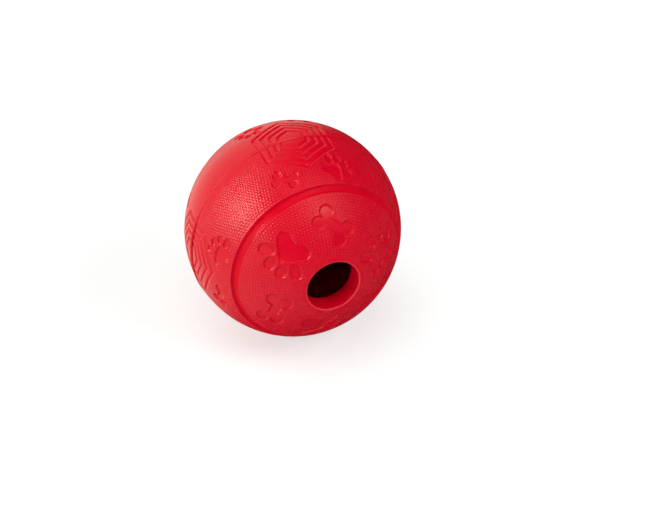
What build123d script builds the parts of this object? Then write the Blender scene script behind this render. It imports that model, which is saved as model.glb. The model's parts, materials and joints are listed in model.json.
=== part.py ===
from build123d import *
import os
from math import asin, cos, degrees, radians, sin, sqrt

# Treat dispensing ball: two thick rubber half shells, bonded together round a rubber labyrinth.
# Millimetres, +Z up. The outlet faces -Y. The origin is the point where the ball touches the floor,
# straight below its centre.
# Places on the ball are given by two angles in degrees: polar is the angle from the outlet's axis, and
# clock runs round that axis from the top, anticlockwise for a viewer who faces the outlet.

# Ball and outlet
ball_diameter = 90.0
wall_thickness = 8.0
outlet_diameter = 22.5
outlet_rim_round = 0.7

# Bonded seam: a spigot on the front half enters a socket in the rear half
bond_film = 0.3
seam_land_width = 4.0
spigot_length = 2.0
spigot_clearance = 0.15
bead_height = 0.5
bead_half_width = 0.6
bead_root_depth = 0.6

# Labyrinth
divider_thickness = 3.0
window_diameter = 22.0
window_margin = 2.0
window_count = 2
window_start = 45.0
vane_count = 4
vane_thickness = 3.0
vane_gap = 28.0
vane_wall_clearance = 0.2
tab_width = 10.0
tab_clearance = 0.1

# Ring groove round each half
groove_polar = 53.9
groove_width = 3.6
groove_depth = 1.3
groove_corner_round = 0.9

# Sunk paws and bones: large ones in the cap inside the groove, small ones in the band beside the seam
figure_depth = 0.7
cap_margin = 4.4
cap_pairs = 3
cap_paw_clock = 47.5
cap_bone_clock = 354.0
cap_bone_turn = 47.0
cap_bone_shift = 1.0
band_margin = 1.0
band_paw_clock = -16.0
band_paw_turn = -136.0
band_bone_clock = 15.5
band_bone_turn = 60.0
small_figure_share = 0.62

# Shares of a paw's width
pad_lobe_offset_share = 0.235
pad_lobe_radius_share = 0.15
pad_heel_offset_share = 0.225
pad_crown_radius_share = 0.157
heel_notch_radius_share = 0.245
heel_notch_depth_share = 0.074
toe_width_share = 0.225
inner_toe_length_share = 0.28
inner_toe_across_share = 0.142
inner_toe_reach_share = 0.345
outer_toe_length_share = 0.345
outer_toe_across_share = 0.37
outer_toe_reach_share = 0.165
outer_toe_lean = 50.0

# Shares of the width of the paw that a bone goes with
bone_span_share = 0.555
bone_lobe_spread_share = 0.28
bone_lobe_radius_share = 0.14
bone_shaft_width_share = 0.206

# Hexagon medallions of concentric lines: four across the seam, and a smaller one opposite the outlet
hexagon_sides = 6
hexagon_line_shares = (1.0, 0.79, 0.585, 0.375)
hexagon_line_width = 1.1
hexagon_depth = 0.6
hexagon_margin = 10.0
rear_hexagon_margin = 1.5
seam_hexagons = 4

cut_overrun = 1.0

# Derived sizes, measured from the ball's centre
ball_radius = ball_diameter / 2
cavity_radius = ball_radius - wall_thickness
outlet_radius = outlet_diameter / 2
outlet_outer_reach = sqrt(ball_radius**2 - outlet_radius**2)
outlet_inner_reach = sqrt(cavity_radius**2 - outlet_radius**2)
centre_height = ball_radius + bead_height
film_half = bond_film / 2
socket_radius = ball_radius - seam_land_width
spigot_radius = socket_radius - spigot_clearance
bead_root_radius = ball_radius - bead_root_depth
bead_edge_radius = sqrt(ball_radius**2 - bead_half_width**2)
divider_front = spigot_length
divider_back = divider_front + divider_thickness
shelf_radius = sqrt(cavity_radius**2 - divider_back**2)
window_radius = window_diameter / 2
window_reach = cavity_radius - window_margin - window_radius
vane_radius = cavity_radius - vane_wall_clearance
vane_inner_edge = vane_gap / 2
vane_pole_reach = sqrt(vane_radius**2 - vane_inner_edge**2)
tab_middle = (vane_inner_edge + vane_radius) / 2
half_turn = 180.0
full_turn = 360.0
quarter_turn = 90.0
groove_half_angle = degrees(asin(groove_width / 2 / ball_radius))
groove_floor_radius = ball_radius - groove_depth
outlet_polar = degrees(asin(outlet_radius / ball_radius))
cap_polar = (outlet_polar + groove_polar - groove_half_angle) / 2
cap_bone_polar = cap_polar + degrees(cap_bone_shift / ball_radius)
cap_zone = radians(groove_polar - groove_half_angle - outlet_polar) * ball_radius
large_figure_width = cap_zone - cap_margin * 2
small_figure_width = large_figure_width * small_figure_share
band_inset = groove_width / 2 + band_margin + small_figure_width / 2
band_polar = groove_polar + degrees(band_inset / ball_radius)
hexagon_radius = radians(quarter_turn - groove_polar) * ball_radius - groove_width / 2 - hexagon_margin
rear_hexagon_radius = outlet_radius + rear_hexagon_margin

ball_centre = Vector(0, 0, centre_height)
outlet_axis = Axis(ball_centre, (0, 1, 0))
upright_axis = Axis(ball_centre, (0, 0, 1))
# Each half's profile is level through the ball's centre, with its pole on local -y and the seam on local x
front_plane = Plane(ball_centre, x_dir=(1, 0, 0), z_dir=(0, 0, 1))
rear_plane = Plane(ball_centre, x_dir=(-1, 0, 0), z_dir=(0, 0, 1))
seam_plane = Plane(ball_centre, x_dir=(1, 0, 0), z_dir=(0, 1, 0))


def on_circle(radius, polar):
    """Point of a half's profile at an angle from its pole."""
    return (radius * sin(radians(polar)), -radius * cos(radians(polar)))


def surface_plane(polar, clock, turn=0):
    """Plane that touches the ball. Its local x leads away from the outlet, turned towards rising clock."""
    p = radians(polar)
    c = radians(clock)
    outward = Vector(-sin(p) * sin(c), -cos(p), sin(p) * cos(c))
    away = Vector(-cos(p) * sin(c), sin(p), cos(p) * cos(c))
    around = Vector(-cos(c), 0, -sin(c))
    x_dir = away * cos(radians(turn)) + around * sin(radians(turn))
    return Plane(ball_centre + outward * ball_radius, x_dir=x_dir, z_dir=outward)


def sunk_reach(half_size, depth):
    """How far a cut reaches below the plane that touches the ball, at half_size from its middle."""
    return ball_radius - sqrt(ball_radius**2 - half_size**2) + depth + cut_overrun


def paw_figure(width):
    """Paw print with its toes along local y, drawn into the open sketch."""
    lobe_offset = pad_lobe_offset_share * width
    heel_offset = pad_heel_offset_share * width
    lobe_radius = pad_lobe_radius_share * width
    notch_radius = heel_notch_radius_share * width
    notch_offset = heel_offset + lobe_radius + notch_radius - heel_notch_depth_share * width
    toe_width = toe_width_share * width
    Circle(pad_crown_radius_share * width)
    with Locations((-lobe_offset, -heel_offset), (lobe_offset, -heel_offset)):
        Circle(lobe_radius)
    make_hull(edges())
    with Locations((0, -notch_offset)):
        Circle(notch_radius, mode=Mode.SUBTRACT)
    for side in (-1, 1):
        with Locations((side * inner_toe_across_share * width, inner_toe_reach_share * width)):
            SlotOverall(inner_toe_length_share * width, toe_width, rotation=quarter_turn)
        with Locations((side * outer_toe_across_share * width, outer_toe_reach_share * width)):
            outer_turn = quarter_turn - side * outer_toe_lean
            SlotOverall(outer_toe_length_share * width, toe_width, rotation=outer_turn)


def bone_figure(width):
    """Bone along local x, to go with a paw of this width, drawn into the open sketch."""
    span = bone_span_share * width
    Rectangle(span, bone_shaft_width_share * width)
    with GridLocations(span, bone_lobe_spread_share * width, 2, 2):
        Circle(bone_lobe_radius_share * width)


def hexagon_figure(radius):
    """Concentric hexagon lines with a corner on local x, drawn into the open sketch."""
    half_line = hexagon_line_width / 2 / cos(radians(half_turn / hexagon_sides))
    for share in hexagon_line_shares:
        RegularPolygon(share * radius + half_line, hexagon_sides)
        RegularPolygon(share * radius - half_line, hexagon_sides, mode=Mode.SUBTRACT)


# Cutter for the paws and bones of the front half
with BuildPart() as front_figures:
    for index in range(cap_pairs):
        clock_step = index * full_turn / cap_pairs
        with BuildSketch(surface_plane(cap_polar, cap_paw_clock + clock_step)):
            paw_figure(large_figure_width)
        with BuildSketch(surface_plane(cap_bone_polar, cap_bone_clock + clock_step, cap_bone_turn)):
            bone_figure(large_figure_width)
    for index in range(seam_hexagons):
        clock_step = index * full_turn / seam_hexagons
        with BuildSketch(surface_plane(band_polar, band_paw_clock + clock_step, band_paw_turn)):
            paw_figure(small_figure_width)
        with BuildSketch(surface_plane(band_polar, band_bone_clock + clock_step, band_bone_turn)):
            bone_figure(small_figure_width)
    extrude(amount=sunk_reach(large_figure_width / 2, figure_depth), both=True)
    with Locations(ball_centre):
        Sphere(ball_radius - figure_depth, mode=Mode.SUBTRACT)

# Both halves come from one mould, so the rear half carries the same figures turned round
rear_figures = front_figures.part.rotate(upright_axis, half_turn)

# Cutter for the hexagon lines
with BuildPart() as hexagon_lines:
    for index in range(seam_hexagons):
        with BuildSketch(surface_plane(quarter_turn, index * full_turn / seam_hexagons)):
            hexagon_figure(hexagon_radius)
    with BuildSketch(surface_plane(half_turn, 0)):
        hexagon_figure(rear_hexagon_radius)
    extrude(amount=sunk_reach(hexagon_radius + hexagon_line_width, hexagon_depth), both=True)
    with Locations(ball_centre):
        Sphere(ball_radius - hexagon_depth, mode=Mode.SUBTRACT)

# Corners of the ring groove in a half's profile
groove_near = on_circle(ball_radius, groove_polar - groove_half_angle)
groove_far = on_circle(ball_radius, groove_polar + groove_half_angle)
floor_near = on_circle(groove_floor_radius, groove_polar - groove_half_angle)
floor_far = on_circle(groove_floor_radius, groove_polar + groove_half_angle)


def outside_line(start):
    """Outside of a half, from start over the groove to the root of the bead, drawn into the open line."""
    RadiusArc(start, groove_near, -ball_radius)
    Line(groove_near, floor_near)
    RadiusArc(floor_near, floor_far, -groove_floor_radius)
    Line(floor_far, groove_far)
    RadiusArc(groove_far, (bead_edge_radius, -bead_half_width), -ball_radius)
    Line((bead_edge_radius, -bead_half_width), (bead_root_radius, -film_half))


def round_groove_floor():
    """Round the two floor corners of the groove in the open sketch."""
    for corner in (floor_near, floor_far):
        fillet(vertices().sort_by_distance(corner)[0], groove_corner_round)


os.makedirs("parts", exist_ok=True)

# Front half: outlet, spigot round the seam, sunk relief
with BuildPart() as front_shell:
    with BuildSketch(front_plane):
        with BuildLine():
            outside_line((outlet_radius, -outlet_outer_reach))
            Polyline(
                (bead_root_radius, -film_half),
                (spigot_radius, -film_half),
                (spigot_radius, spigot_length),
                (cavity_radius, spigot_length),
                (cavity_radius, 0),
            )
            RadiusArc((cavity_radius, 0), (outlet_radius, -outlet_inner_reach), cavity_radius)
            Line((outlet_radius, -outlet_inner_reach), (outlet_radius, -outlet_outer_reach))
        make_face()
        round_groove_floor()
    revolve(axis=outlet_axis)
    outlet_rim = front_shell.edges().filter_by(GeomType.CIRCLE).sort_by(Axis.Y)[0]
    fillet(outlet_rim, outlet_rim_round)
    add(front_figures.part, mode=Mode.SUBTRACT)
    add(hexagon_lines.part, mode=Mode.SUBTRACT)
front_shell.part.label = "front_shell"
export_step(front_shell.part, "parts/front_shell.step")

# Rear half: socket with a shelf for the divider, sunk relief
with BuildPart() as rear_shell:
    with BuildSketch(rear_plane):
        with BuildLine():
            outside_line((0, -ball_radius))
            Polyline(
                (bead_root_radius, -film_half),
                (socket_radius, -film_half),
                (socket_radius, -divider_back),
                (shelf_radius, -divider_back),
            )
            RadiusArc((shelf_radius, -divider_back), (0, -cavity_radius), cavity_radius)
            Line((0, -cavity_radius), (0, -ball_radius))
        make_face()
        round_groove_floor()
    revolve(axis=outlet_axis)
    add(rear_figures, mode=Mode.SUBTRACT)
    add(hexagon_lines.part, mode=Mode.SUBTRACT)
rear_shell.part.label = "rear_shell"
export_step(rear_shell.part, "parts/rear_shell.step")

# Cement between the seam faces, squeezed out into a bead round the ball
with BuildPart() as seam_bond:
    with BuildSketch(front_plane):
        with BuildLine():
            Polyline(
                (bead_edge_radius, bead_half_width),
                (bead_root_radius, film_half),
                (socket_radius, film_half),
                (socket_radius, -film_half),
                (bead_root_radius, -film_half),
                (bead_edge_radius, -bead_half_width),
            )
            ThreePointArc(
                (bead_edge_radius, -bead_half_width),
                (ball_radius + bead_height, 0),
                (bead_edge_radius, bead_half_width),
            )
        make_face()
    revolve(axis=outlet_axis)
seam_bond.part.label = "seam_bond"
export_step(seam_bond.part, "parts/seam_bond.step")

# Divider across the ball: two windows in opposite quarters, and slots for the tabs of the vanes
with BuildPart() as divider_disc:
    with BuildSketch(seam_plane.offset(divider_front)):
        Circle(spigot_radius)
        with PolarLocations(window_reach, window_count, window_start):
            Circle(window_radius, mode=Mode.SUBTRACT)
        with PolarLocations(tab_middle, vane_count):
            Rectangle(
                tab_width + tab_clearance * 2, vane_thickness + tab_clearance * 2, mode=Mode.SUBTRACT
            )
    extrude(amount=divider_thickness)
divider_disc.part.label = "divider_disc"
export_step(divider_disc.part, "parts/divider_disc.step")

# Vanes of the front half, level, one each side of the way to the outlet
for name, side in (("front_vane_left", -1), ("front_vane_right", 1)):
    with BuildPart() as front_vane:
        with BuildSketch(Plane(ball_centre, x_dir=(side, 0, 0), z_dir=(0, 0, side))):
            with BuildLine():
                Polyline(
                    (vane_radius, 0),
                    (vane_radius, divider_front),
                    (vane_inner_edge, divider_front),
                    (vane_inner_edge, -vane_pole_reach),
                )
                RadiusArc((vane_inner_edge, -vane_pole_reach), (vane_radius, 0), -vane_radius)
            make_face()
            with Locations((tab_middle, divider_front)):
                Rectangle(tab_width, divider_thickness, align=(Align.CENTER, Align.MIN))
        extrude(amount=vane_thickness / 2, both=True)
    front_vane.part.label = name
    export_step(front_vane.part, f"parts/{name}.step")

# Vanes of the rear half, upright, above and below the middle
vane_seat_radius = sqrt(vane_radius**2 - divider_back**2)
for name, side in (("rear_vane_upper", 1), ("rear_vane_lower", -1)):
    with BuildPart() as rear_vane:
        with BuildSketch(Plane(ball_centre, x_dir=(0, 0, side), z_dir=(-side, 0, 0))):
            with BuildLine():
                Polyline(
                    (vane_seat_radius, divider_back),
                    (vane_inner_edge, divider_back),
                    (vane_inner_edge, vane_pole_reach),
                )
                RadiusArc((vane_inner_edge, vane_pole_reach), (vane_seat_radius, divider_back), vane_radius)
            make_face()
            with Locations((tab_middle, divider_back)):
                Rectangle(tab_width, divider_thickness, align=(Align.CENTER, Align.MAX))
        extrude(amount=vane_thickness / 2, both=True)
    rear_vane.part.label = name
    export_step(rear_vane.part, f"parts/{name}.step")
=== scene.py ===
import json
from math import asin, atan, cos, pi, radians, sin, sqrt, tan

import bpy
import numpy as np
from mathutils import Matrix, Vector


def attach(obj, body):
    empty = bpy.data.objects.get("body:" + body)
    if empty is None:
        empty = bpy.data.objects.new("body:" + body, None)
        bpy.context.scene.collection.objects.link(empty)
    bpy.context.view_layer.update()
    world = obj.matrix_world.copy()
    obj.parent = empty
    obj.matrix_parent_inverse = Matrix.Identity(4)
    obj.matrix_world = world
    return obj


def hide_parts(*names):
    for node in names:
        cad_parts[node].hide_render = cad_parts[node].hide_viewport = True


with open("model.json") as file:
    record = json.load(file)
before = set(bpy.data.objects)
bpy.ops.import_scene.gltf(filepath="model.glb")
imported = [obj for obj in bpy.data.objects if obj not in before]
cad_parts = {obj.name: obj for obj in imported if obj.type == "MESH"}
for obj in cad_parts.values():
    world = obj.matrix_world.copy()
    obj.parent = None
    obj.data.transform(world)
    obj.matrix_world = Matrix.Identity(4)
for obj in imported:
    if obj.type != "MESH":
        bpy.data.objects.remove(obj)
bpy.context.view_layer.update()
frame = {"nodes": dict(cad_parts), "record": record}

# Treat dispensing ball: two rubber half shells with pebble grain and sunk figures, and a bead round the seam.
# Shapes are worked out in millimetres about the ball's centre, and turned into metres as a mesh is made.
# Each half is shaped with its pole on -Y. A place on it is given by two angles: polar is measured from the
# pole, and clock runs round the pole from +Z towards -X.

MM = 0.001
FULL = 2 * pi
QUARTERS = 4
QUARTER = FULL / QUARTERS

# Ball and outlet
outlet_mount = next(mount for mount in frame["record"]["mounts"] if mount["name"] == "outlet")
BALL_CENTRE = Vector((0, 0, outlet_mount["pos_m"][2]))
OUTLET_RADIUS = outlet_mount["dims"]["r_mm"]
OUTLET_RIM_ROUND = 0.7
BEAD_HEIGHT = 0.5
BALL_RADIUS = BALL_CENTRE.z / MM - BEAD_HEIGHT
WALL_THICKNESS = 8.0
CAVITY_RADIUS = BALL_RADIUS - WALL_THICKNESS
RIM_CENTRE_RADIUS = OUTLET_RADIUS + OUTLET_RIM_ROUND
RIM_POLAR = asin(RIM_CENTRE_RADIUS / (BALL_RADIUS - OUTLET_RIM_ROUND))
RIM_REACH = (BALL_RADIUS - OUTLET_RIM_ROUND) * cos(RIM_POLAR)
# Painted highlight, a thin paler edge along the rim's round: its place on the round, and the distances from
# there where it is full and where it ends
RIM_HIGHLIGHT_ANGLE = radians(-25)
RIM_HIGHLIGHT_EDGE = (0.05, 0.28)

# Seam
FILM_HALF = 0.15
SOCKET_INSET = 4.0
SOCKET_RADIUS = BALL_RADIUS - SOCKET_INSET
SPIGOT_CLEARANCE = 0.15
SPIGOT_RADIUS = SOCKET_RADIUS - SPIGOT_CLEARANCE
SPIGOT_LENGTH = 2.0
DIVIDER_BACK = 5.0
SHELF_RADIUS = sqrt(CAVITY_RADIUS**2 - DIVIDER_BACK**2)
BEAD_HALF_WIDTH = 0.6
BEAD_ROOT_DEPTH = 0.6
BEAD_ROOT_RADIUS = BALL_RADIUS - BEAD_ROOT_DEPTH
BEAD_EDGE_RADIUS = sqrt(BALL_RADIUS**2 - BEAD_HALF_WIDTH**2)
SEAM_POLAR = QUARTER - asin(BEAD_HALF_WIDTH / BALL_RADIUS)
BEAD_SIDES = 720
BEAD_STEPS = 10
# Waves round the bead and the phase of each
BEAD_WAVES = ((7, 0.4), (17, 1.9), (31, 4.1), (53, 2.6))
BEAD_WAVE_SHARE = 0.06
BEAD_TRIM_SHARE = 0.97
# Fine crevice beside the bead, on the front half at the two side medallions
CREVICE_DEPTH = 0.4
CREVICE_WIDTH = 1.1

# Ring groove: steep walls with eased edges and a rounded floor. Its section gives the depth at distances
# inside its edge.
GROOVE_POLAR = radians(53.9)
GROOVE_HALF_WIDTH = 1.8
GROOVE_INSETS = (-0.1, 0.05, 0.4, 0.65, 1.0)
GROOVE_DEPTHS = (0.0, 0.12, 1.0, 1.2, 1.3)

# Sunk paws and bones: large ones in the cap inside the groove, small ones in the band beside the seam. They
# come in pairs, and a turn is that of the figure in its place.
FIGURE_DEPTH = 0.7
FIGURE_EASE = 0.25
FIGURE_LEVELS = (FIGURE_EASE, 0.0, -FIGURE_EASE)
CAP_MARGIN = 4.4
CAP_PAIRS = 3
CAP_PAW_CLOCK = radians(47.5)
CAP_BONE_CLOCK = radians(354.0)
CAP_BONE_TURN = radians(47.0)
CAP_BONE_SHIFT = 1.0
BAND_MARGIN = 1.0
BAND_PAIRS = 4
BAND_PAW_CLOCK = radians(-16.0)
BAND_PAW_TURN = radians(-136.0)
BAND_BONE_CLOCK = radians(15.5)
BAND_BONE_TURN = radians(60.0)
SMALL_FIGURE_SHARE = 0.62
GROOVE_HALF_ANGLE = asin(GROOVE_HALF_WIDTH / BALL_RADIUS)
CAP_INNER_POLAR = asin(OUTLET_RADIUS / BALL_RADIUS)
CAP_OUTER_POLAR = GROOVE_POLAR - GROOVE_HALF_ANGLE
CAP_POLAR = (CAP_INNER_POLAR + CAP_OUTER_POLAR) / 2
CAP_BONE_POLAR = CAP_POLAR + CAP_BONE_SHIFT / BALL_RADIUS
LARGE_FIGURE = (CAP_OUTER_POLAR - CAP_INNER_POLAR) * BALL_RADIUS - CAP_MARGIN * 2
SMALL_FIGURE = LARGE_FIGURE * SMALL_FIGURE_SHARE
BAND_POLAR = GROOVE_POLAR + (GROOVE_HALF_WIDTH + BAND_MARGIN + SMALL_FIGURE / 2) / BALL_RADIUS

# Shares of a paw's width
PAD_LOBE_OFFSET_SHARE = 0.235
PAD_LOBE_RADIUS_SHARE = 0.15
PAD_HEEL_OFFSET_SHARE = 0.225
PAD_CROWN_RADIUS_SHARE = 0.157
HEEL_NOTCH_RADIUS_SHARE = 0.245
HEEL_NOTCH_DEPTH_SHARE = 0.074
TOE_WIDTH_SHARE = 0.225
INNER_TOE_SHARES = (0.142, 0.345)
INNER_TOE_LENGTH_SHARE = 0.28
OUTER_TOE_SHARES = (0.37, 0.165)
OUTER_TOE_LENGTH_SHARE = 0.345
OUTER_TOE_LEAN = radians(50)
FIGURE_REACH_SHARE = 0.75

# Shares of the width of the paw that a bone goes with
BONE_SPAN_SHARE = 0.555
BONE_LOBE_SPREAD_SHARE = 0.28
BONE_LOBE_RADIUS_SHARE = 0.14
BONE_SHAFT_WIDTH_SHARE = 0.206
BONE_FILLET_SHARE = 0.05

# Hexagon medallions of concentric lines
HEXAGON_SIDES = 6
HEXAGON_LINE_SHARES = (1.0, 0.79, 0.585, 0.375)
HEXAGON_LINE_HALF_WIDTH = 0.55
HEXAGON_DEPTH = 0.6
HEXAGON_MARGIN = 10.0
HEXAGON_RADIUS = (QUARTER - GROOVE_POLAR) * BALL_RADIUS - GROOVE_HALF_WIDTH - HEXAGON_MARGIN
REAR_HEXAGON_MARGIN = 1.5
REAR_HEXAGON_RADIUS = OUTLET_RADIUS + REAR_HEXAGON_MARGIN
SEAM_HEXAGONS = 4
# Distances from the seam where the lines start and where they are full, and their share of depth in front
LINE_SEAM_EDGE = (-0.2, 0.8)
FRONT_LINE_SHARE = 0.7

# Pebble grain, on a lattice of rings round the pole in which ring number i has i points in each quarter. Its
# height comes from three waves, whose sum lies between the two named values. Each edge gives the distances
# from a form where the grain starts and where it is full.
RINGS = 196
RING_POWER = QUARTER * sqrt(3) / 2
PEBBLE_RINGS = 3
PEBBLE_DEPTH = 0.14
PEBBLE_POWER = 1.1
WAVES_LOW = -1.5
WAVES_HIGH = 3.0
WAVES_SPAN = WAVES_HIGH - WAVES_LOW
PEBBLE_FIGURE_EDGE = (0.3, 1.0)
PEBBLE_GROOVE_EDGE = (0.1, 0.6)
PEBBLE_RIM_EDGE = (0.8, 2.2)
PEBBLE_SEAM_EDGE = (1.5, 5.0)
PEBBLE_REAR_SEAM_EDGE = (13.0, 21.0)
PEBBLE_MEDALLION_EDGE = (0.3, 1.2)

# Rubber. Colours are red, green, blue and alpha in linear light.
RED_COLOUR = (0.74, 0.001, 0.02, 1)
RED_CLOUD_COLOUR = (0.70, 0.001, 0.017, 1)
RED_ROUGHNESS = 0.26
BOND_COLOUR = (0.72, 0.001, 0.018, 1)
BOND_CLOUD_COLOUR = (0.68, 0.001, 0.015, 1)
BOND_ROUGHNESS = 0.3
MAZE_COLOUR = (0.50, 0.002, 0.014, 1)
MAZE_CLOUD_COLOUR = (0.44, 0.002, 0.012, 1)
MAZE_ROUGHNESS = 0.5
# Painted highlight: pebble tips are made paler in colour, as if they caught the light
PAINTED_TIP_HIGHLIGHT = (0.81, 0.010, 0.036, 1)
# Painted shade: the gaps between pebbles are made darker in colour
PAINTED_GAP_SHADE = (0.675, 0.0006, 0.016, 1)
# Painted highlight: a paler colour along the outlet's rounded edge
RIM_HIGHLIGHT_COLOUR = (0.78, 0.07, 0.08, 1)
SPECULAR_LEVEL = 0.24
GROOVE_SPECULAR_SHARE = 0.3
CLOUD_SCALE = 45
CLOUD_DETAIL = 3
GLOSS_SCALE = 160
GLOSS_DETAIL = 4
GLOSS_NOISE = (0.3, 0.7)
GLOSS_VARIATION = 0.05
TIP_DULLNESS = 0.12
PEBBLE_BUMP = 0.08
PEBBLE_BUMP_STRENGTH = 1.0
GRAIN_SCALE = 2500
GRAIN_DETAIL = 2
GRAIN_BUMP = 0.05
GRAIN_BUMP_STRENGTH = 0.12

# Studio
FLOOR_HALF = 30.0
FLOOR_COLOUR = (0.84, 0.93, 0.93, 1)
FLOOR_WHITE_SHARE = 0.42
FLOOR_WHITE_STRENGTH = 1.42
# Direction of each bright side of the surroundings, and the cosines where it starts and is full
BACKDROP_GLOW = ((-0.55, 0.83, 0.1), (0.35, 0.62))
FLOOR_GLOW = ((-0.85, -0.25, -0.45), (0.6, 0.95))
WORLD_LEVELS = (0.02, 1.0)
WHITE = (1.0, 1.0, 1.0)
WARM_WHITE = (1.0, 0.98, 0.84)

# Camera: its place about the ball, and the ball's place in the picture in pixels
CAMERA_AZIMUTH = radians(-22.3)
CAMERA_ELEVATION = radians(35.6)
CAMERA_DISTANCE = 1.2
IMAGE_WIDTH = 665
IMAGE_HEIGHT = 505
BALL_X_PIXELS = 292.65
BALL_Y_PIXELS = 228.19
BALL_RADIUS_PIXELS = 108.5

# Mesh making: counts of steps, how near to a line a point is snapped onto it, how far off a slope is probed,
# the distance that stands for out of reach, and limits
INNER_SIDES = 160
INNER_STEPS = 14
RIM_STEPS = 7
HULL_STEPS = 90
SNAP = 0.12
PROBE = 0.02
LEAST_STEEPNESS = 0.25
NEAR_UPRIGHT = 0.9
FAR = 10.0
LOOP_TOLERANCE = 1e-4
SHARP_ANGLE = radians(66)


def smoothstep(value, low, high):
    """Ease from 0 at low to 1 at high."""
    share = np.clip((value - low) / (high - low), 0, 1)
    return share * share * (3 - 2 * share)


def on_ball(points):
    """Points moved along their radii to the ball's surface."""
    return points * (BALL_RADIUS / np.linalg.norm(points, axis=1))[:, None]


def revolved(radius, reach, clock):
    """Points at a radius from the outlet's axis and a reach along it, +Y, for an array of clocks."""
    return np.stack((-radius * np.sin(clock), np.full_like(clock, reach), radius * np.cos(clock)), axis=1)


def angles_of(points):
    """Polar and clock of points on the ball. A clock just under a full turn counts as 0."""
    polar = np.arccos(np.clip(-points[:, 1] / np.linalg.norm(points, axis=1), -1, 1))
    clock = np.mod(np.arctan2(-points[:, 0], points[:, 2]) + LOOP_TOLERANCE, FULL) - LOOP_TOLERANCE
    return polar, clock


def place_on_ball(polar, clock, turn=0.0):
    """Outward, x and y directions of the plane that touches the ball at a place. With no turn, x leads away
    from the pole, and a turn swings it towards rising clock."""
    outward = np.array((-sin(polar) * sin(clock), -cos(polar), sin(polar) * cos(clock)))
    away = np.array((-cos(polar) * sin(clock), sin(polar), cos(polar) * cos(clock)))
    around = np.array((-cos(clock), 0, -sin(clock)))
    x_dir = away * cos(turn) + around * sin(turn)
    return outward, x_dir, np.cross(outward, x_dir)


def hull_distance(x, y, circles):
    """Signed distance to the hull of circles, each given as x, y and radius."""
    angle = np.linspace(0, FULL, HULL_STEPS, endpoint=False)
    along_x, along_y = np.cos(angle), np.sin(angle)
    support = np.max([along_x * cx + along_y * cy + radius for cx, cy, radius in circles], axis=0)
    return np.max(np.outer(x, along_x) + np.outer(y, along_y) - support, axis=1)


def toe_distance(x, y, middle, lean, length, toe_width):
    """Signed distance to a toe: a stadium about its middle, leaned from y towards x."""
    radius = toe_width / 2
    half_line = length / 2 - radius
    along = (x - middle[0]) * sin(lean) + (y - middle[1]) * cos(lean)
    across = (x - middle[0]) * cos(lean) - (y - middle[1]) * sin(lean)
    return np.hypot(across, along - np.clip(along, -half_line, half_line)) - radius


def paw_distance(x, y, width):
    """Signed distance to a paw print with its toes along y."""
    lobe_x = PAD_LOBE_OFFSET_SHARE * width
    heel_y = -PAD_HEEL_OFFSET_SHARE * width
    lobe_radius = PAD_LOBE_RADIUS_SHARE * width
    notch_radius = HEEL_NOTCH_RADIUS_SHARE * width
    notch_y = heel_y - lobe_radius - notch_radius + HEEL_NOTCH_DEPTH_SHARE * width
    crown = (0, 0, PAD_CROWN_RADIUS_SHARE * width)
    pad = hull_distance(x, y, (crown, (-lobe_x, heel_y, lobe_radius), (lobe_x, heel_y, lobe_radius)))
    found = np.maximum(pad, notch_radius - np.hypot(x, y - notch_y))
    toes = (
        (INNER_TOE_SHARES, INNER_TOE_LENGTH_SHARE, 0),
        (OUTER_TOE_SHARES, OUTER_TOE_LENGTH_SHARE, OUTER_TOE_LEAN),
    )
    for (across, reach), length, lean in toes:
        for side in (-1, 1):
            middle = (side * across * width, reach * width)
            toe = toe_distance(x, y, middle, side * lean, length * width, TOE_WIDTH_SHARE * width)
            found = np.minimum(found, toe)
    return found


def soft_union(first, second, fillet):
    """Signed distance to two shapes together, with their inner corners filled."""
    overlap = np.clip(fillet - np.abs(first - second), 0, None) / fillet
    return np.minimum(first, second) - overlap**2 * fillet / 4


def bone_distance(x, y, width):
    """Signed distance to a bone along x that goes with a paw of this width."""
    half_span = BONE_SPAN_SHARE * width / 2
    beside = np.stack((np.abs(x) - half_span, np.abs(y) - BONE_SHAFT_WIDTH_SHARE * width / 2))
    shaft = np.linalg.norm(np.maximum(beside, 0), axis=0) + np.minimum(beside.max(axis=0), 0)
    lobe_y = BONE_LOBE_SPREAD_SHARE * width / 2
    lobes = np.hypot(np.abs(x) - half_span, np.abs(y) - lobe_y) - BONE_LOBE_RADIUS_SHARE * width
    return soft_union(shaft, lobes, BONE_FILLET_SHARE * width)


def figure_places():
    """Outline, paw width and place of each sunk figure of a half."""
    for index in range(CAP_PAIRS):
        step = index * FULL / CAP_PAIRS
        yield paw_distance, LARGE_FIGURE, place_on_ball(CAP_POLAR, CAP_PAW_CLOCK + step)
        bone_place = place_on_ball(CAP_BONE_POLAR, CAP_BONE_CLOCK + step, CAP_BONE_TURN)
        yield bone_distance, LARGE_FIGURE, bone_place
    for index in range(BAND_PAIRS):
        step = index * FULL / BAND_PAIRS
        yield paw_distance, SMALL_FIGURE, place_on_ball(BAND_POLAR, BAND_PAW_CLOCK + step, BAND_PAW_TURN)
        yield bone_distance, SMALL_FIGURE, place_on_ball(BAND_POLAR, BAND_BONE_CLOCK + step, BAND_BONE_TURN)


def medallion_places(is_front):
    """Radius and place of each hexagon medallion of a half."""
    for index in range(SEAM_HEXAGONS):
        yield HEXAGON_RADIUS, place_on_ball(QUARTER, index * FULL / SEAM_HEXAGONS)
    if not is_front:
        yield REAR_HEXAGON_RADIUS, place_on_ball(0, 0)


def figure_distance(points):
    """Signed distance of points on the ball to the nearest paw or bone, or FAR."""
    found = np.full(len(points), FAR)
    for outline, width, (outward, x_dir, y_dir) in figure_places():
        x, y = points @ x_dir, points @ y_dir
        near = (points @ outward > 0) & (np.hypot(x, y) < FIGURE_REACH_SHARE * width)
        found[near] = np.minimum(found[near], outline(x[near], y[near], width))
    return found


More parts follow.
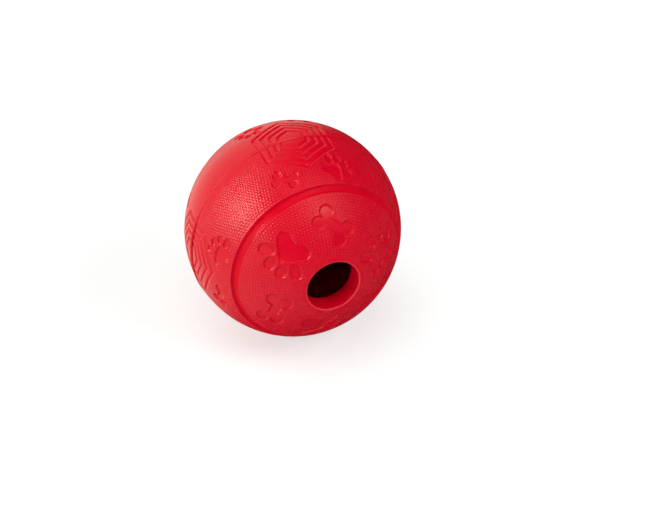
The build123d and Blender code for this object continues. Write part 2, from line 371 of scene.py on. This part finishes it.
def hexagon_reach(points, place):
    """Distance of points from a medallion's middle, square to its nearest side, or far more behind the ball."""
    outward, x_dir, y_dir = place
    half_side = pi / HEXAGON_SIDES
    sides = [half_side * (2 * index + 1) for index in range(HEXAGON_SIDES)]
    reach = np.max([points @ (x_dir * cos(side) + y_dir * sin(side)) for side in sides], axis=0)
    return np.where(points @ outward > 0, reach, BALL_RADIUS)


def line_distance(points, is_front):
    """Signed distance of points on the ball to the nearest medallion line."""
    found = np.full(len(points), FAR)
    for radius, place in medallion_places(is_front):
        reach = hexagon_reach(points, place)
        for share in HEXAGON_LINE_SHARES:
            line_reach = share * radius * cos(pi / HEXAGON_SIDES)
            found = np.minimum(found, np.abs(reach - line_reach) - HEXAGON_LINE_HALF_WIDTH)
    return found


def medallion_distance(points, is_front):
    """Distance of points on the ball from the outside of the nearest medallion."""
    found = np.full(len(points), FAR)
    for radius, place in medallion_places(is_front):
        edge = radius * cos(pi / HEXAGON_SIDES) + HEXAGON_LINE_HALF_WIDTH
        found = np.minimum(found, hexagon_reach(points, place) - edge)
    return found


def groove_distance(points):
    """Signed distance of points on the ball to the edges of the ring groove."""
    return np.abs(angles_of(points)[0] - GROOVE_POLAR) * BALL_RADIUS - GROOVE_HALF_WIDTH


def ring_polar(ring):
    """Polar of a ring of the lattice. Its spacing keeps the lattice's triangles equilateral."""
    return 2 * atan(tan(SEAM_POLAR / 2) * (ring / RINGS) ** RING_POWER)


def ring_at(polar):
    """Ring number at a polar, with its fraction."""
    return RINGS * (np.tan(polar / 2) / tan(SEAM_POLAR / 2)) ** (1 / RING_POWER)


def pebble_phases(polar, clock):
    """Phases of the pebble lattice: pebbles stand on every third point of the lattice of rings."""
    row = FULL * ring_at(polar) / PEBBLE_RINGS
    return row, row * clock / QUARTER


def pebble_height(points):
    """Height of the pebble grain from 0 to 1."""
    polar, clock = angles_of(points)
    row, along = pebble_phases(polar, np.mod(clock, QUARTER))
    waves = np.cos(row) + np.cos(along) + np.cos(row - along)
    return (np.clip(waves - WAVES_LOW, 0, None) / WAVES_SPAN) ** PEBBLE_POWER


def corner_phases(points, triangles):
    """Phases of the pebble lattice at the corners of triangles, each triangle within its own quarter."""
    polar, clock = angles_of(points)
    middle_clock = angles_of(points[triangles].mean(axis=1))[1]
    quarter_start = np.floor(middle_clock / QUARTER) * QUARTER
    in_quarter = np.mod(clock[triangles] - quarter_start[:, None] + pi, FULL) - pi
    return pebble_phases(polar[triangles], in_quarter)


def bead_share(clock):
    """Share of the bead's height that its trimming leaves: all at the medallions, little between them."""
    return 1 - BEAD_TRIM_SHARE * (1 - np.cos(SEAM_HEXAGONS * clock)) / 2


def sunk_depth(points, is_front):
    """Depth of a half's relief below the ball's surface, and the share of the pebble grain that is left."""
    polar, clock = angles_of(points)
    figures = figure_distance(points)
    lines = line_distance(points, is_front)
    groove = groove_distance(points)
    cover = smoothstep(figures, *PEBBLE_FIGURE_EDGE)
    cover *= smoothstep(groove, *PEBBLE_GROOVE_EDGE)
    seam = (SEAM_POLAR - polar) * BALL_RADIUS
    cover *= smoothstep(seam, *(PEBBLE_SEAM_EDGE if is_front else PEBBLE_REAR_SEAM_EDGE))
    cover *= smoothstep(medallion_distance(points, is_front), *PEBBLE_MEDALLION_EDGE)
    if is_front:
        cover *= smoothstep((polar - RIM_POLAR) * BALL_RADIUS, *PEBBLE_RIM_EDGE)
    depth = PEBBLE_DEPTH * cover * (1 - pebble_height(points))
    depth += FIGURE_DEPTH * smoothstep(-figures, -FIGURE_EASE, FIGURE_EASE)
    line_depth = HEXAGON_DEPTH * smoothstep(seam, *LINE_SEAM_EDGE)
    if is_front:
        line_depth *= FRONT_LINE_SHARE
        crevice = (bead_share(clock) * np.sin(clock)) ** 2 * (1 - smoothstep(seam, 0, CREVICE_WIDTH))
        depth += CREVICE_DEPTH * crevice
    depth += line_depth * smoothstep(-lines, -FIGURE_EASE, FIGURE_EASE)
    depth += np.interp(-groove, GROOVE_INSETS, GROOVE_DEPTHS)
    return depth, cover


def ring_lattice(first):
    """Points on the ball and triangles of the lattice, from the first ring to the seam."""
    rings = range(first, RINGS + 1)
    starts = np.cumsum([0] + [max(1, QUARTERS * ring) for ring in rings])
    points, triangles = [], []
    for ring, start, next_start in zip(rings, starts[:-1], starts[1:]):
        polar = RIM_POLAR if ring == first and first > 0 else ring_polar(ring)
        count = max(1, QUARTERS * ring)
        next_count = QUARTERS * (ring + 1)
        clock = np.arange(count) * FULL / count
        points.append(revolved(BALL_RADIUS * sin(polar), -BALL_RADIUS * cos(polar), clock))
        if ring == RINGS:
            break
        for quarter in range(QUARTERS):
            near = start + (quarter * ring + np.arange(ring + 1)) % count
            far = next_start + (quarter * (ring + 1) + np.arange(ring + 2)) % next_count
            triangles.append(np.stack((near, far[:-1], far[1:]), axis=1))
            triangles.append(np.stack((near[:-1], far[1:-1], near[1:]), axis=1))
    return np.concatenate(points), np.concatenate(triangles)


def slide(points, field, level):
    """Points moved over the ball to where field has this level."""
    outward = points / BALL_RADIUS
    is_upright = np.abs(outward[:, 2:]) >= NEAR_UPRIGHT
    first = np.cross(outward, np.where(is_upright, (1.0, 0.0, 0.0), (0.0, 0.0, 1.0)))
    first /= np.linalg.norm(first, axis=1)[:, None]
    second = np.cross(outward, first)
    here = field(points)
    slope_first = (field(points + first * PROBE) - here) / PROBE
    slope_second = (field(points + second * PROBE) - here) / PROBE
    slope = first * slope_first[:, None] + second * slope_second[:, None]
    steep = np.maximum(slope_first**2 + slope_second**2, LEAST_STEEPNESS)
    return on_ball(points - slope * ((here - level) / steep)[:, None])


def cut_along(points, triangles, field, level):
    """Split triangles where field passes level, so that edges of the mesh follow that line."""
    height = field(points) - level
    polar = angles_of(points)[0]
    inner = (polar < SEAM_POLAR - LOOP_TOLERANCE) & (polar > polar.min() + LOOP_TOLERANCE)
    near = np.flatnonzero(inner & (np.abs(height) < SNAP))
    points = points.copy()
    points[near] = slide(points[near], field, level)
    height[near] = 0
    ends = np.sort(triangles[:, ((0, 1), (1, 2), (2, 0))], axis=2)
    crossed = height[ends[..., 0]] * height[ends[..., 1]] < 0
    keys, order = np.unique(ends[crossed] @ (len(points), 1), return_inverse=True)
    start, end = keys // len(points), keys % len(points)
    share = height[start] / (height[start] - height[end])
    added = on_ball(points[start] + (points[end] - points[start]) * share[:, None])
    middle = np.full(crossed.shape, -1)
    middle[crossed] = len(points) + order.ravel()
    points = np.concatenate((points, added))
    count = crossed.sum(axis=1)
    made = [triangles[count == 0]]
    # One crossed side: the line leaves through the corner opposite
    row = np.flatnonzero(count == 1)
    side = crossed[row].argmax(axis=1)
    a, b, c = (triangles[row, (side + turn) % 3] for turn in range(3))
    cut = middle[row, side]
    made += [np.stack((a, cut, c), axis=1), np.stack((cut, b, c), axis=1)]
    # Two crossed sides: corner a is alone on its side of the line
    row = np.flatnonzero(count == 2)
    side = crossed[row].argmin(axis=1)
    a, b, c = (triangles[row, (side + turn) % 3] for turn in (2, 0, 1))
    cut_ab, cut_ca = middle[row, (side + 2) % 3], middle[row, (side + 1) % 3]
    made.append(np.stack((a, cut_ab, cut_ca), axis=1))
    first_way = np.linalg.norm(points[cut_ab] - points[c], axis=1)
    second_way = np.linalg.norm(points[b] - points[cut_ca], axis=1)
    by_first = (first_way < second_way)[:, None]
    for by_c, by_b in (((cut_ab, b, c), (cut_ab, b, cut_ca)), ((cut_ab, c, cut_ca), (b, c, cut_ca))):
        made.append(np.where(by_first, np.stack(by_c, axis=1), np.stack(by_b, axis=1)))
    return points, np.concatenate(made)


def half_skin(is_front):
    """Points on the ball and triangles of a half's outside, with edges along every line of its relief."""
    first = round(float(ring_at(RIM_POLAR))) if is_front else 0
    points, triangles = ring_lattice(first)
    for inset in GROOVE_INSETS:
        points, triangles = cut_along(points, triangles, groove_distance, -inset)

    def nearest_edge(places):
        return np.minimum(figure_distance(places), line_distance(places, is_front))

    for level in FIGURE_LEVELS:
        points, triangles = cut_along(points, triangles, nearest_edge, level)
    return points, triangles


def bridge(near, near_clock, far, far_clock):
    """Triangles between two loops of point numbers, each sorted by clock."""
    next_clocks = np.concatenate((near_clock[1:], [FULL], far_clock[1:], [FULL]))
    is_near = np.argsort(next_clocks, kind="stable") < len(near)
    near_step = np.cumsum(is_near) - is_near
    far_step = np.cumsum(~is_near) - ~is_near
    near_here = near[near_step % len(near)]
    far_here = far[far_step % len(far)]
    ahead = np.where(is_near, near[(near_step + 1) % len(near)], far[(far_step + 1) % len(far)])
    made = np.stack((near_here, far_here, ahead), axis=1)
    return made[(ahead != near_here) & (ahead != far_here)]


def front_inside():
    """Radius and reach of the rings that close the front half, from the seam to the outlet's rim."""
    profile = [
        (BEAD_ROOT_RADIUS, -FILM_HALF),
        (SPIGOT_RADIUS, -FILM_HALF),
        (SPIGOT_RADIUS, SPIGOT_LENGTH),
        (CAVITY_RADIUS, SPIGOT_LENGTH),
    ]
    for polar in np.linspace(QUARTER, asin(OUTLET_RADIUS / CAVITY_RADIUS), INNER_STEPS):
        profile.append((CAVITY_RADIUS * sin(polar), -CAVITY_RADIUS * cos(polar)))
    for angle in np.linspace(-QUARTER, RIM_POLAR, RIM_STEPS, endpoint=False):
        radius = RIM_CENTRE_RADIUS + OUTLET_RIM_ROUND * sin(angle)
        profile.append((radius, -RIM_REACH - OUTLET_RIM_ROUND * cos(angle)))
    return profile


def rear_inside():
    """Radius and reach of the rings that close the rear half, from the seam to the cavity's pole."""
    profile = [
        (BEAD_ROOT_RADIUS, -FILM_HALF),
        (SOCKET_RADIUS, -FILM_HALF),
        (SOCKET_RADIUS, -DIVIDER_BACK),
    ]
    for polar in np.linspace(asin(SHELF_RADIUS / CAVITY_RADIUS), 0, INNER_STEPS):
        profile.append((CAVITY_RADIUS * sin(polar), -CAVITY_RADIUS * cos(polar)))
    return profile


def rim_highlight_share(points):
    """Share from 0 to 1 of the painted highlight, a thin paler edge that runs round the outlet."""
    edge_radius = RIM_CENTRE_RADIUS + OUTLET_RIM_ROUND * sin(RIM_HIGHLIGHT_ANGLE)
    edge_reach = -RIM_REACH - OUTLET_RIM_ROUND * cos(RIM_HIGHLIGHT_ANGLE)
    gap = np.hypot(np.hypot(points[:, 0], points[:, 2]) - edge_radius, points[:, 1] - edge_reach)
    return 1 - smoothstep(gap, *RIM_HIGHLIGHT_EDGE)


def half_shell(is_front):
    """Points and triangles of a closed half shell, and the values at its corners that its material reads."""
    skin, triangles = half_skin(is_front)
    depth, cover = sunk_depth(skin, is_front)
    polar, clock = angles_of(skin)
    seam = np.flatnonzero(polar > SEAM_POLAR - LOOP_TOLERANCE)
    loop = seam[np.argsort(clock[seam])]
    loop_clock = clock[loop]
    points = [skin * (1 - depth / BALL_RADIUS)[:, None]]
    made = [triangles]
    count = len(skin)
    for radius, reach in front_inside() if is_front else rear_inside():
        sides = INNER_SIDES if radius > LOOP_TOLERANCE else 1
        ring_clock = np.arange(sides) * FULL / sides
        ring = count + np.arange(sides)
        points.append(revolved(radius, reach, ring_clock))
        made.append(bridge(loop, loop_clock, ring, ring_clock))
        loop, loop_clock, count = ring, ring_clock, count + sides
    if is_front:
        rim = np.flatnonzero(polar < RIM_POLAR + LOOP_TOLERANCE)
        rim = rim[np.argsort(clock[rim])]
        made.append(bridge(loop, loop_clock, rim, clock[rim]))
    points = np.concatenate(points)
    faces = np.concatenate(made)
    row, along = np.zeros(faces.shape), np.zeros(faces.shape)
    row[: len(triangles)], along[: len(triangles)] = corner_phases(skin, triangles)
    pebble_cover = np.zeros(len(points))
    pebble_cover[: len(skin)] = cover
    in_groove = np.zeros(len(points))
    in_groove[: len(skin)] = groove_distance(skin) < 0
    corner_values = {
        "pebble_cover": pebble_cover[faces],
        "pebble_row": row,
        "pebble_along": along,
        "groove": in_groove[faces],
    }
    if is_front:
        # Share of the painted highlight along the outlet's edge
        corner_values["rim_highlight"] = rim_highlight_share(points)[faces]
    else:
        points = points * (-1, -1, 1)
    return points, faces, corner_values


def seam_bead():
    """Points and triangles of the cement in the seam, squeezed out into a slightly uneven bead."""
    clock = np.arange(BEAD_SIDES) * FULL / BEAD_SIDES
    unevenness = sum(np.sin(count * clock + phase) for count, phase in BEAD_WAVES) / len(BEAD_WAVES)
    height = BEAD_HEIGHT * bead_share(clock) * (1 - BEAD_WAVE_SHARE * (1 - unevenness))
    shift = BEAD_HALF_WIDTH * BEAD_WAVE_SHARE * np.roll(unevenness, BEAD_SIDES // QUARTERS)
    rings = []
    for share in np.linspace(-1, 1, BEAD_STEPS):
        bulge = (1 - share**2) ** 2
        radius = BEAD_EDGE_RADIUS + (BALL_RADIUS - BEAD_EDGE_RADIUS + height) * bulge
        reach = BEAD_HALF_WIDTH * share + shift * bulge
        rings.append(np.stack((-radius * np.sin(clock), reach, radius * np.cos(clock)), axis=1))
    for radius, reach in (
        (BEAD_ROOT_RADIUS, FILM_HALF),
        (SOCKET_RADIUS, FILM_HALF),
        (SOCKET_RADIUS, -FILM_HALF),
        (BEAD_ROOT_RADIUS, -FILM_HALF),
    ):
        rings.append(revolved(radius, reach, clock))
    numbers = np.arange(BEAD_SIDES)
    made = []
    for index in range(len(rings)):
        near = index * BEAD_SIDES + numbers
        far = (index + 1) % len(rings) * BEAD_SIDES + numbers
        made.append(bridge(near, clock, far, clock))
    return np.concatenate(rings), np.concatenate(made), {}


def add_piece(name, shape, material):
    """Mesh object from a closed shape that stands for the CAD node of the same name."""
    points, triangles, corner_values = shape
    corners = points[triangles]
    volume = np.einsum("ij,ij->i", corners[:, 0], np.cross(corners[:, 1], corners[:, 2])).sum()
    order = -1 if volume < 0 else 1
    triangles = triangles[:, ::order]
    mesh = bpy.data.meshes.new(name)
    mesh.vertices.add(len(points))
    mesh.vertices.foreach_set("co", (points * MM + np.array(BALL_CENTRE)).ravel())
    mesh.loops.add(triangles.size)
    mesh.loops.foreach_set("vertex_index", triangles.ravel())
    mesh.polygons.add(len(triangles))
    mesh.polygons.foreach_set("loop_start", np.arange(0, triangles.size, 3))
    mesh.update(calc_edges=True)
    mesh.shade_smooth()
    mesh.set_sharp_from_angle(angle=SHARP_ANGLE)
    for title, values in corner_values.items():
        attribute = mesh.attributes.new(title, "FLOAT", "CORNER")
        attribute.data.foreach_set("value", values[:, ::order].ravel())
    mesh.materials.append(material)
    piece = bpy.data.objects.new(f"{name}_skin", mesh)
    bpy.context.scene.collection.objects.link(piece)
    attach(piece, "root")
    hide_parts(name)
    return piece


class Nodes:
    """Short ways to add nodes to a material or a world. A value is a node's output or a plain one."""

    def __init__(self, owner):
        owner.use_nodes = True
        self.tree = owner.node_tree

    def named(self, title):
        return self.tree.nodes[title]

    def add(self, kind):
        return self.tree.nodes.new(f"ShaderNode{kind}")

    def feed(self, socket, value):
        """Link a node's output to a socket, or set the socket to a plain value."""
        if isinstance(value, bpy.types.NodeSocket):
            self.tree.links.new(value, socket)
        else:
            socket.default_value = value

    def maths(self, operation, *values):
        node = self.add("Math")
        node.operation = operation
        for socket, value in zip(node.inputs, values):
            self.feed(socket, value)
        return node.outputs["Value"]

    def attribute(self, title):
        node = self.add("Attribute")
        node.attribute_name = title
        return node.outputs["Fac"]

    def noise(self, scale, detail):
        node = self.add("TexNoise")
        self.feed(node.inputs["Scale"], scale)
        self.feed(node.inputs["Detail"], detail)
        self.feed(node.inputs["Vector"], self.add("TexCoord").outputs["Object"])
        return node.outputs["Fac"]

    def colour_mix(self, factor, first, second):
        node = self.add("Mix")
        node.data_type = "RGBA"
        self.feed(node.inputs["Factor"], factor)
        self.feed(node.inputs["A"], first)
        self.feed(node.inputs["B"], second)
        return node.outputs["Result"]

    def map_range(self, value, from_range, to_range, interpolation="LINEAR"):
        node = self.add("MapRange")
        node.interpolation_type = interpolation
        self.feed(node.inputs["Value"], value)
        for side, (low, high) in (("From", from_range), ("To", to_range)):
            self.feed(node.inputs[f"{side} Min"], low)
            self.feed(node.inputs[f"{side} Max"], high)
        return node.outputs["Result"]

    def bump(self, height, depth, strength, normal=None):
        """Normal of a relief of a depth in millimetres, on top of another normal if there is one."""
        node = self.add("Bump")
        self.feed(node.inputs["Height"], height)
        self.feed(node.inputs["Distance"], depth * MM)
        self.feed(node.inputs["Strength"], strength)
        if normal is not None:
            self.feed(node.inputs["Normal"], normal)
        return node.outputs["Normal"]

    def seen_share(self, share):
        """Value that is share for rays that show the background, and 0 for those that light the object."""
        path = self.add("LightPath")
        seen = path.outputs["Is Camera Ray"]
        for other in ("Is Glossy Ray", "Is Transmission Ray"):
            seen = self.maths("MAXIMUM", seen, path.outputs[other])
        return self.maths("MULTIPLY", seen, share)


def pebble_nodes(nodes, cover):
    """Height of the pebble grain from 0 to 1 as nodes, from the phases that the mesh carries."""
    row, along = nodes.attribute("pebble_row"), nodes.attribute("pebble_along")
    waves = nodes.maths("COSINE", nodes.maths("SUBTRACT", row, along))
    for phase in (row, along):
        waves = nodes.maths("ADD", waves, nodes.maths("COSINE", phase))
    height = nodes.maths("MULTIPLY_ADD", waves, 1 / WAVES_SPAN, -WAVES_LOW / WAVES_SPAN)
    return nodes.maths("MULTIPLY", nodes.maths("POWER", height, PEBBLE_POWER), cover)


def rubber(name, colour, cloud_colour, roughness, is_pebbled=False):
    """Moulded rubber: cloudy colour, uneven gloss and a fine grain. The pebbled rubber of the halves also has
    pebbles with duller tips, tips painted paler as a painted highlight and gaps darker as painted shade, a
    paler edge round the outlet as a painted highlight, and a less glossy groove."""
    material = bpy.data.materials.new(name)
    nodes = Nodes(material)
    tint = nodes.colour_mix(nodes.noise(CLOUD_SCALE, CLOUD_DETAIL), colour, cloud_colour)
    dullness = (roughness - GLOSS_VARIATION, roughness + GLOSS_VARIATION)
    gloss = nodes.map_range(nodes.noise(GLOSS_SCALE, GLOSS_DETAIL), GLOSS_NOISE, dullness)
    specular = SPECULAR_LEVEL
    normal = None
    if is_pebbled:
        cover = nodes.attribute("pebble_cover")
        pebbles = pebble_nodes(nodes, cover)
        # Painted highlight: the tips of the pebbles are made paler in colour
        tint = nodes.colour_mix(pebbles, tint, PAINTED_TIP_HIGHLIGHT)
        # Painted shade: the gaps between pebbles are made darker in colour
        tint = nodes.colour_mix(nodes.maths("SUBTRACT", cover, pebbles), tint, PAINTED_GAP_SHADE)
        # Painted highlight: a paler colour along the outlet's edge
        tint = nodes.colour_mix(nodes.attribute("rim_highlight"), tint, RIM_HIGHLIGHT_COLOUR)
        gloss = nodes.maths("MULTIPLY_ADD", pebbles, TIP_DULLNESS, gloss)
        groove_loss = SPECULAR_LEVEL * (GROOVE_SPECULAR_SHARE - 1)
        specular = nodes.maths("MULTIPLY_ADD", nodes.attribute("groove"), groove_loss, SPECULAR_LEVEL)
        normal = nodes.bump(pebbles, PEBBLE_BUMP, PEBBLE_BUMP_STRENGTH)
    grain = nodes.noise(GRAIN_SCALE, GRAIN_DETAIL)
    normal = nodes.bump(grain, GRAIN_BUMP, GRAIN_BUMP_STRENGTH, normal)
    shader = nodes.named("Principled BSDF")
    nodes.feed(shader.inputs["Base Color"], tint)
    nodes.feed(shader.inputs["Roughness"], gloss)
    nodes.feed(shader.inputs["Specular IOR Level"], specular)
    nodes.feed(shader.inputs["Normal"], normal)
    return material


def floor_material():
    """Matt floor that looks nearly white to the camera and keeps shadows."""
    material = bpy.data.materials.new("pale_floor")
    nodes = Nodes(material)
    nodes.tree.nodes.remove(nodes.named("Principled BSDF"))
    matt = nodes.add("BsdfDiffuse")
    nodes.feed(matt.inputs["Color"], FLOOR_COLOUR)
    white = nodes.add("Emission")
    nodes.feed(white.inputs["Color"], (*WHITE, 1))
    nodes.feed(white.inputs["Strength"], FLOOR_WHITE_STRENGTH)
    mix = nodes.add("MixShader")
    nodes.feed(mix.inputs["Fac"], nodes.seen_share(FLOOR_WHITE_SHARE))
    nodes.feed(mix.inputs[1], matt.outputs["BSDF"])
    nodes.feed(mix.inputs[2], white.outputs["Emission"])
    nodes.feed(nodes.named("Material Output").inputs["Surface"], mix.outputs["Shader"])
    return material


def pale_floor():
    """Wide pale floor, which isn't mirrored in the ball: the surroundings are."""
    half = FLOOR_HALF
    mesh = bpy.data.meshes.new("floor")
    corners = [(-half, -half, 0), (half, -half, 0), (half, half, 0), (-half, half, 0)]
    mesh.from_pydata(corners, [], [(0, 1, 2, 3)])
    mesh.materials.append(floor_material())
    floor = bpy.data.objects.new("floor", mesh)
    floor.visible_glossy = False
    bpy.context.scene.collection.objects.link(floor)


def studio_world():
    """Dim surroundings with a bright backdrop behind the ball and a bright floor to its left."""
    world = bpy.data.worlds.new("studio")
    nodes = Nodes(world)
    levels = []
    for direction, cosines in (BACKDROP_GLOW, FLOOR_GLOW):
        towards = nodes.add("VectorMath")
        towards.operation = "DOT_PRODUCT"
        nodes.feed(towards.inputs[0], nodes.add("TexCoord").outputs["Generated"])
        nodes.feed(towards.inputs[1], Vector(direction).normalized())
        levels.append(nodes.map_range(towards.outputs["Value"], cosines, WORLD_LEVELS, "SMOOTHSTEP"))
    background = nodes.named("Background")
    nodes.feed(background.inputs["Strength"], nodes.maths("MAXIMUM", *levels))
    nodes.feed(background.inputs["Color"], (*WARM_WHITE, 1))
    bpy.context.scene.world = world


def soft_box(name, direction, distance, size, power, is_seen=True, is_light=True):
    """Square area lamp at a direction from the ball, which may be seen in its gloss, or light it, or both."""
    lamp = bpy.data.lights.new(name, "AREA")
    lamp.size = size
    lamp.color = WARM_WHITE if is_seen else WHITE
    lamp.energy = power
    box = bpy.data.objects.new(name, lamp)
    towards = Vector(direction).normalized()
    box.visible_glossy = is_seen
    box.visible_diffuse = is_light
    box.location = BALL_CENTRE + towards * distance
    box.rotation_euler = towards.to_track_quat("Z", "Y").to_euler()
    bpy.context.scene.collection.objects.link(box)


def photo_camera():
    """Long lens that looks down at the ball from the left of the outlet, framed off centre."""
    level = cos(CAMERA_ELEVATION)
    back = Vector((sin(CAMERA_AZIMUTH) * level, -cos(CAMERA_AZIMUTH) * level, sin(CAMERA_ELEVATION)))
    radius = BALL_RADIUS * MM
    focal_pixels = BALL_RADIUS_PIXELS * sqrt(CAMERA_DISTANCE**2 - radius**2) / radius
    data = bpy.data.cameras.new("camera")
    data.lens = focal_pixels * data.sensor_width / IMAGE_WIDTH
    data.shift_x = (IMAGE_WIDTH / 2 - BALL_X_PIXELS) / IMAGE_WIDTH
    data.shift_y = (BALL_Y_PIXELS - IMAGE_HEIGHT / 2) / IMAGE_WIDTH
    camera = bpy.data.objects.new("camera", data)
    camera.location = BALL_CENTRE + back * CAMERA_DISTANCE
    camera.rotation_euler = back.to_track_quat("Z", "Y").to_euler()
    bpy.context.scene.collection.objects.link(camera)
    bpy.context.scene.camera = camera


red_rubber = rubber("red_rubber", RED_COLOUR, RED_CLOUD_COLOUR, RED_ROUGHNESS, is_pebbled=True)
bond_rubber = rubber("bond_rubber", BOND_COLOUR, BOND_CLOUD_COLOUR, BOND_ROUGHNESS)
maze_rubber = rubber("maze_rubber", MAZE_COLOUR, MAZE_CLOUD_COLOUR, MAZE_ROUGHNESS)

add_piece("front_shell", half_shell(is_front=True), red_rubber)
add_piece("rear_shell", half_shell(is_front=False), red_rubber)
add_piece("seam_bond", seam_bead(), bond_rubber)
for node_name in ("divider_disc", "front_vane_left", "front_vane_right", "rear_vane_upper", "rear_vane_lower"):
    node = frame["nodes"][node_name]
    node.data.materials.clear()
    node.data.materials.append(maze_rubber)

pale_floor()
studio_world()
soft_box("glint", direction=(-0.83, 0.03, 0.555), distance=1.0, size=0.42, power=9, is_light=False)
soft_box("left", direction=(-0.9, -0.3, 0.2), distance=1.4, size=1.2, power=12, is_seen=False)
soft_box("top", direction=(-0.15, -0.1, 0.95), distance=1.5, size=1.2, power=9.3, is_seen=False)
soft_box("fill", direction=(0.55, -0.55, 0.63), distance=1.6, size=0.9, power=12.4, is_seen=False)
soft_box("sheen", direction=(0.2, -0.55, 0.8), distance=1.6, size=0.6, power=6.2, is_light=False)
photo_camera()
bpy.context.scene.view_settings.view_transform = "Standard"
